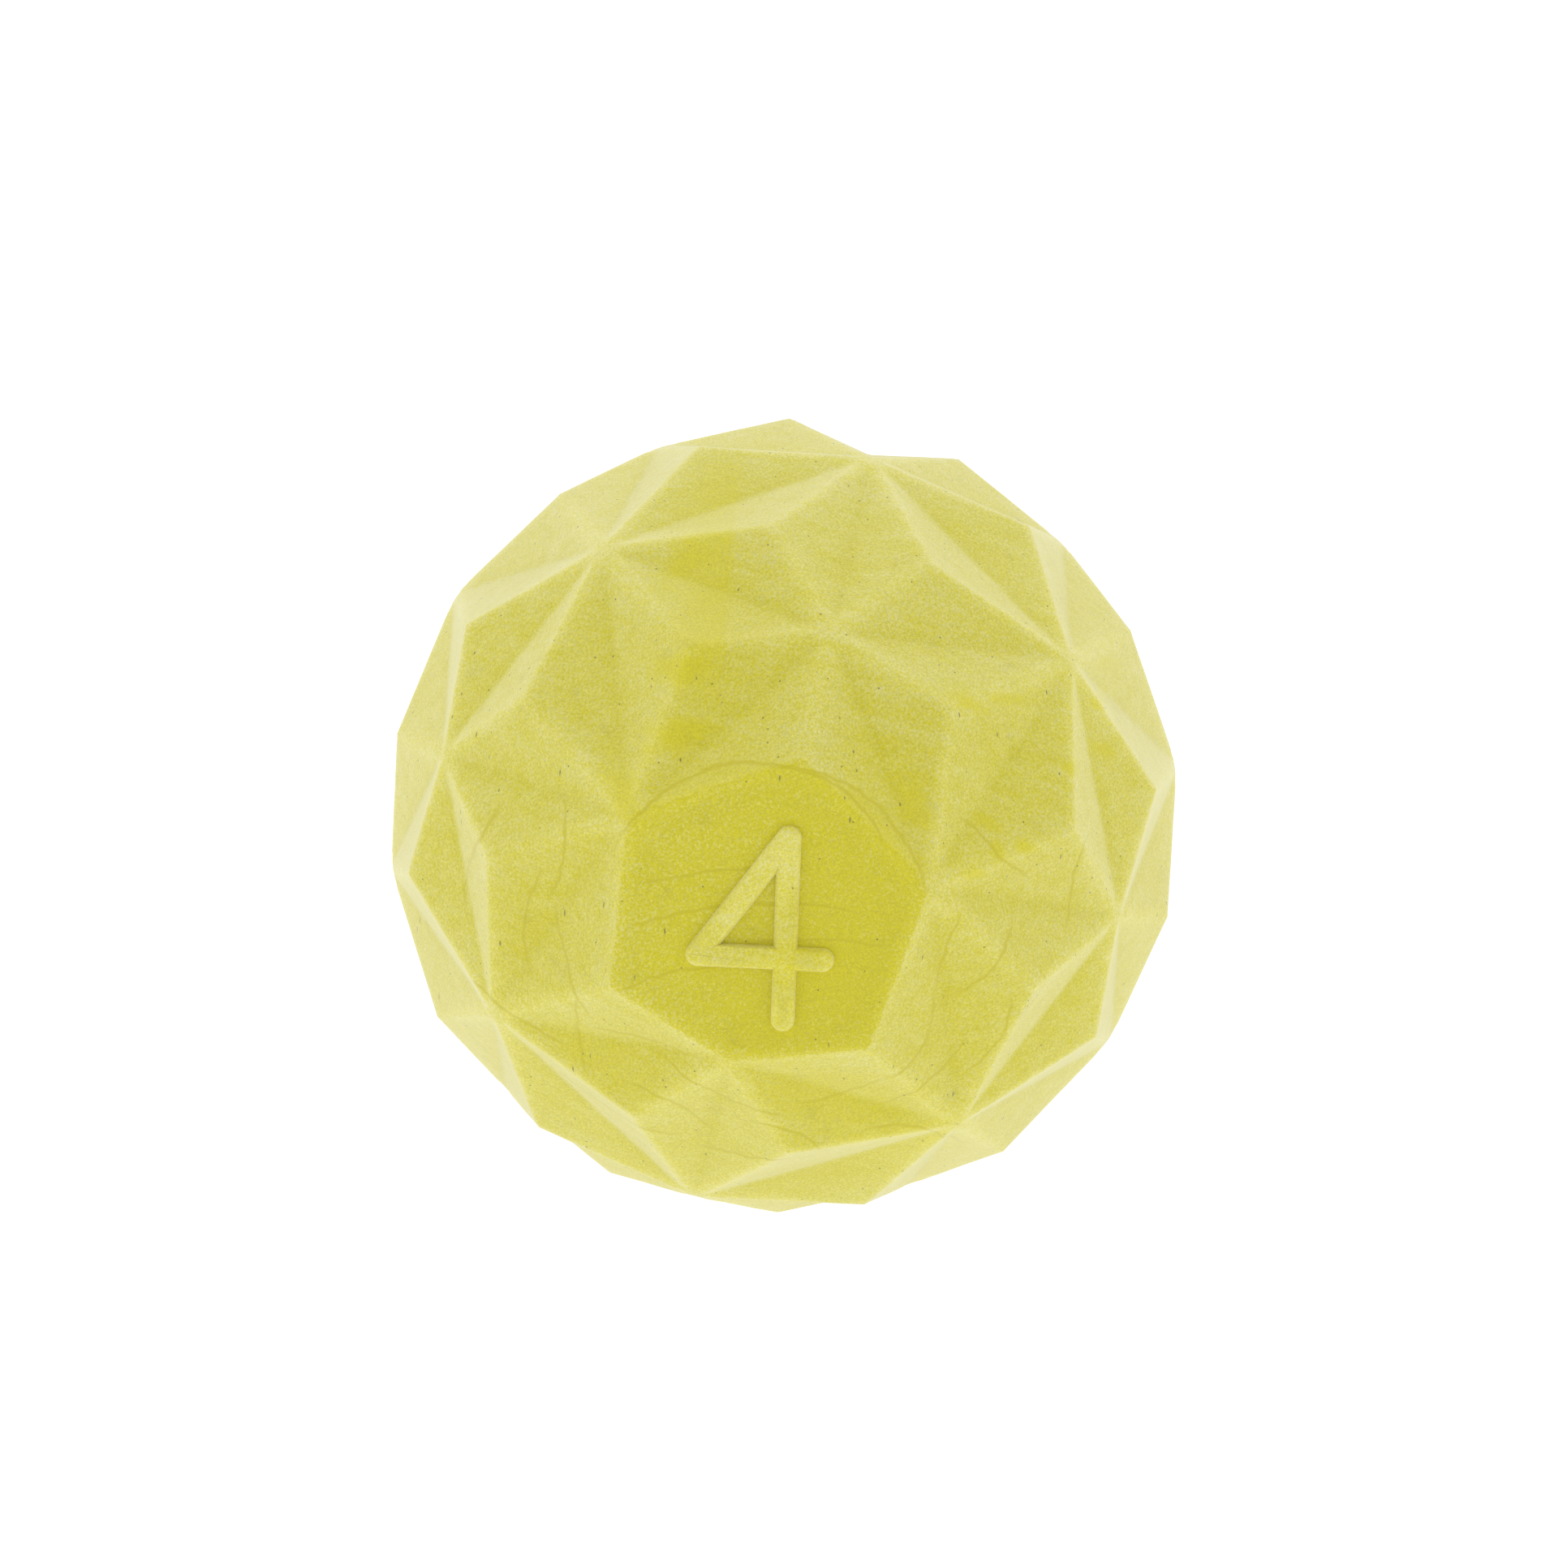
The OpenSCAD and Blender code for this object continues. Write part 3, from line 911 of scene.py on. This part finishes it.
urethane = moulded_urethane()
for shell in (front, back):
    shell.data.materials.clear()
    shell.data.materials.append(urethane)
inner_materials = {
    MANTLE_NODES: moulded_ionomer(),
    OUTER_CORE_NODES: moulded_rubber("moulded_rubber_amber", "#DE9A36", "#E8BD7C"),
    INNER_CORE_NODES: moulded_rubber("moulded_rubber_teal", "#3A8A85", "#86B5AF"),
}
for nodes, material in inner_materials.items():
    for node in nodes:
        for slot in bpy.data.objects[node].material_slots:
            slot.material = material


# ---- Floor, light and camera ----

FLOOR_SIZE = 4
FLOOR_GLOW = 1.01


def white_stage(floor_z):
    """A grey floor that glows white, as a light table does, and hardly shows a shadow."""
    bpy.ops.object.select_all(action="DESELECT")
    bpy.ops.mesh.primitive_plane_add(size=FLOOR_SIZE, location=(0, 0, floor_z))
    floor = bpy.context.view_layer.objects.active
    floor.name = "floor"
    m = new_material("white_light_table")
    shader = add_node(
        m, "BsdfPrincipled",
        Base_Color=to_linear("#6A6A6A"),
        Roughness=0.9,
        Emission_Color=to_linear("#FFFFFF"),
        Emission_Strength=FLOOR_GLOW,
    )
    add_node(m, "OutputMaterial", Surface=shader)
    floor.data.materials.append(m)
    floor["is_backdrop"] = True


# The camera's direction from the ball, distance and tilt of its frame
CAMERA_AZIMUTH = math.radians(2.6)
CAMERA_ELEVATION = math.radians(18.5)
CAMERA_DISTANCE = 261 * MM
CAMERA_ROLL = math.radians(1.9)
CAMERA_LENS = 112.2
# The camera aims this far above the ball's centre
CAMERA_AIM_RISE = 1.8 * MM
camera_dir = Vector((
    math.sin(CAMERA_AZIMUTH) * math.cos(CAMERA_ELEVATION),
    -math.cos(CAMERA_AZIMUTH) * math.cos(CAMERA_ELEVATION),
    math.sin(CAMERA_ELEVATION),
))


# The room is even and white, and dimmer round the camera
ROOM_LIGHT = 1.07
CAMERA_SIDE_LIGHT = 0.5
# The dimming starts where a direction's cosine to the camera's passes this
DIMMING_STARTS = 0.3
# Its light at the horizon and overhead, as shares of that
HORIZON_SHARE = 0.85
OVERHEAD_SHARE = 1.22
overhead_dir = Vector((-0.05, 0.2, 0.98)).normalized()


def soft_light():
    """Soft white light from all round, as in a studio tent."""
    world = bpy.data.worlds.new("soft_room")
    world.use_nodes = True
    direction = add_node(world, "TexCoord").outputs["Generated"]
    facing = add_node(world, "VectorMath", {"operation": "DOT_PRODUCT"}, _0=direction, _1=camera_dir)
    level = add_node(world, "MapRange", SMOOTHLY,
                     Value=facing.outputs["Value"], From_Min=DIMMING_STARTS,
                     To_Min=ROOM_LIGHT, To_Max=CAMERA_SIDE_LIGHT)
    raised = add_node(world, "VectorMath", {"operation": "DOT_PRODUCT"}, _0=direction, _1=overhead_dir)
    share = add_node(world, "MapRange", Value=raised.outputs["Value"],
                     To_Min=HORIZON_SHARE, To_Max=OVERHEAD_SHARE)
    level = add_node(world, "Math", TIMES, _0=level, _1=share)
    background = world.node_tree.nodes["Background"]
    background.inputs["Color"].default_value = (1, 1, 1, 1)
    world.node_tree.links.new(level.outputs[0], background.inputs["Strength"])
    bpy.context.scene.world = world
    bpy.context.scene.view_settings.view_transform = "Standard"


def add_camera():
    """A camera that looks at the ball from the front and a little from above."""
    data = bpy.data.cameras.new("camera")
    data.lens = CAMERA_LENS
    data.clip_start = 10 * MM
    camera = bpy.data.objects.new("camera", data)
    bpy.context.scene.collection.objects.link(camera)
    turn = camera_dir.to_track_quat("Z", "Y").to_matrix() @ Matrix.Rotation(CAMERA_ROLL, 3, "Z")
    aim = turn @ Vector((0, CAMERA_AIM_RISE, 0))
    camera.matrix_world = Matrix.Translation(camera_dir * CAMERA_DISTANCE + aim) @ turn.to_4x4()
    bpy.context.scene.camera = camera


white_stage(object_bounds()[0].z)
soft_light()
add_camera()
